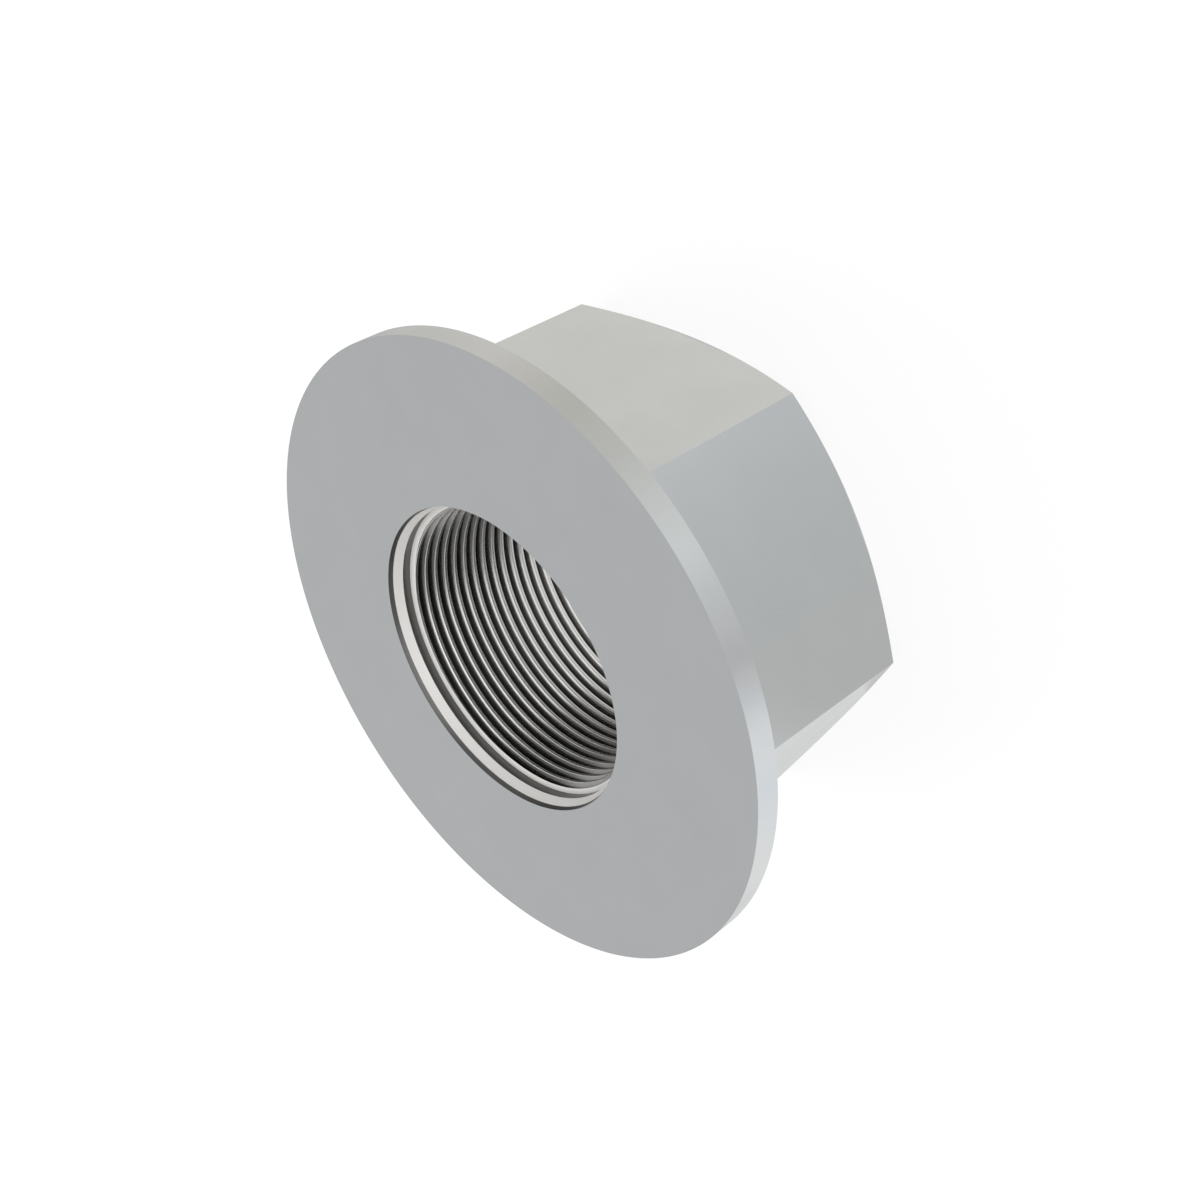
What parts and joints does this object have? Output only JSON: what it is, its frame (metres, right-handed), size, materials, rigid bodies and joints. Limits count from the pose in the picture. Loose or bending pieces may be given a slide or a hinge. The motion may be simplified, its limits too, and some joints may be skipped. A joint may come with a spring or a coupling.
{
  "type": "hex flange nut",
  "caption": "Hex nut with a wide thin flange, a stepped mouth in its flat bearing face and a fine through thread. It screws onto a stud or axle end and clamps what lies under the flange.",
  "frame": {"origin": "centre of the hexagon's foot, on the thread axis; the nut stands on its foot with the bearing face up", "axes": "+Z along the thread axis and out of the bearing face; +X through a corner of the hexagon"},
  "size_m": [0.0756, 0.0756, 0.0324],
  "materials": {
    "plated_steel": "turned and milled steel with bright zinc plating, satin"
  },
  "bodies": {
    "root": {"flange_nut": "plated_steel"}
  },
  "joints": []
}
